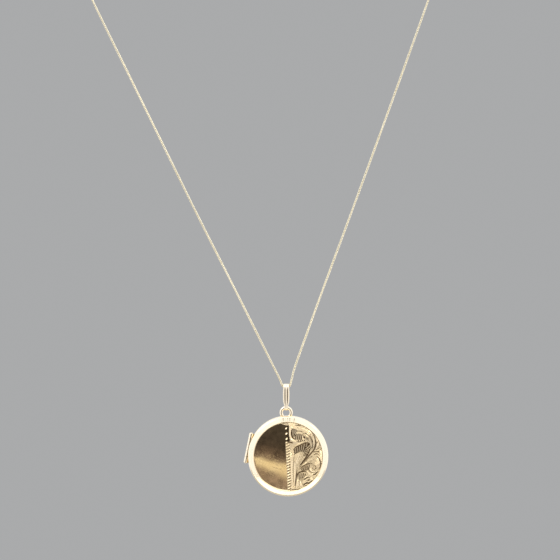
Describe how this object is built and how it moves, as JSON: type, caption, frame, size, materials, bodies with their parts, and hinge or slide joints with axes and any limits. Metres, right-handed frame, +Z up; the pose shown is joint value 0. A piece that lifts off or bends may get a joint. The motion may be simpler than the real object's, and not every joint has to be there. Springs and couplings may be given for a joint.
{
  "type": "photo locket",
  "caption": "Round hinged photo locket with a scroll-engraved cover, on a reeded bail and a fine curb chain with a bolt ring clasp.",
  "frame": {"origin": "the top of the chain's closed loop, at the middle of the clasp ring, where the necklace is held up", "axes": "+Z up, against the pull of gravity; the engraved cover faces -Y; +X to the right as seen from the front"},
  "size_m": [0.1083, 0.006, 0.2016],
  "materials": {
    "polished_gold": "mirror polished pale yellow gold with fine wear scratches",
    "inner_gold": "plain polished gold, less bright than the outside",
    "chain_gold": "polished gold links",
    "clear_glass": "clear",
    "blank_card": "matt ivory card",
    "spring_steel": "bare steel"
  },
  "bodies": {
    "chain": {"chain": "chain_gold", "chain_end_ring_left": "chain_gold", "chain_end_ring_right": "chain_gold", "clasp_body": "polished_gold", "clasp_eye": "chain_gold", "clasp_spring": "spring_steel", "clasp_tag": "chain_gold"},
    "clasp_bolt": {"clasp_bolt": "chain_gold"},
    "bail": {"bail": "polished_gold"},
    "case_back": {"back_cover": "polished_gold", "back_band": "inner_gold", "photo_frame_back": "inner_gold", "photo_glass_back": "clear_glass", "photo_card_back": "blank_card", "hinge_knuckles_back": "polished_gold", "hinge_pin": "polished_gold", "hanging_ring": "polished_gold"},
    "case_front": {"front_cover": "polished_gold", "front_band": "inner_gold", "photo_frame_front": "inner_gold", "photo_glass_front": "clear_glass", "photo_card_front": "blank_card", "hinge_knuckles_front": "polished_gold"}
  },
  "joints": [
    {"name": "clasp_bolt_slide", "type": "hinge", "parent": "chain", "child": "clasp_bolt", "pos_m": [0, 0, 0], "axis": [0, -1, 0], "range_deg": [0, 50], "stiffness_Nm_per_rad": 0.000008, "springref_deg": -17.19, "deforming": ["clasp_spring"]},
    {"name": "bail_swing", "type": "hinge", "parent": "chain", "child": "bail", "pos_m": [0.00785, 0, -0.16469], "axis": [1, 0, 0], "range_deg": [-75, 75]},
    {"name": "case_swing", "type": "hinge", "parent": "bail", "child": "case_back", "pos_m": [0.00785, 0, -0.17254], "axis": [0, 1, 0], "range_deg": [-60, 60]},
    {"name": "cover_hinge", "type": "hinge", "parent": "case_back", "child": "case_front", "pos_m": [-0.00386, -0.00055, -0.1835], "axis": [-0.1994, 0, -0.9799], "range_deg": [0, 170]}
  ]
}
